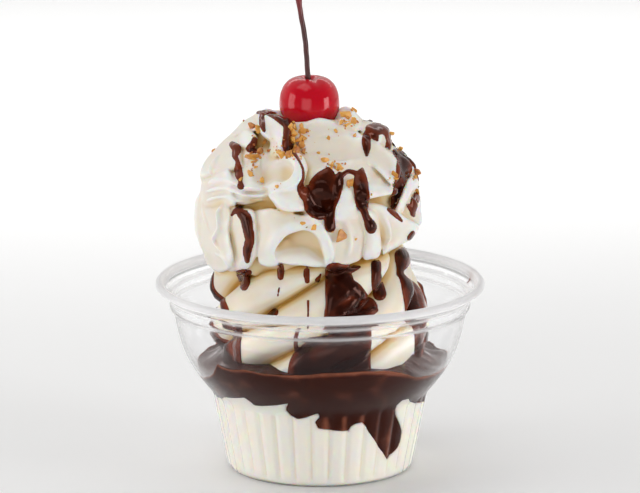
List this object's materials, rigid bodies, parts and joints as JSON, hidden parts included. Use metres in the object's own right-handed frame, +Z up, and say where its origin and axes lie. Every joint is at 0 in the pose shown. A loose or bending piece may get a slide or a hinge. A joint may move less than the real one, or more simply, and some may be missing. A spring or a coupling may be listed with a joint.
{
  "type": "hot fudge sundae",
  "caption": "Hot fudge sundae: soft-serve ice cream and fudge in a clear fluted plastic cup, topped with whipped cream, fudge drizzle, chopped nuts and a cherry.",
  "frame": {"origin": "middle of the underside of the cup's foot, on the table", "axes": "+Z up along the cup's axis, the front of the sundae towards -Y, +X to the viewer's right"},
  "size_m": [0.1086, 0.1086, 0.163],
  "materials": {
    "clear_cup": "clear, glossy",
    "vanilla_base": "soft satin",
    "hot_fudge": "glossy, wet",
    "soft_serve": "smooth satin",
    "whipped_cream": "soft satin",
    "cherry_red": "wet, glossy",
    "stem": "smooth satin"
  },
  "bodies": {
    "root": {"cup": "clear_cup", "ice_cream_base": "vanilla_base", "fudge_layer": "hot_fudge", "soft_serve_swirl": "soft_serve", "whipped_cream": "whipped_cream", "cherry": "cherry_red", "cherry_stem": "stem"}
  },
  "joints": []
}
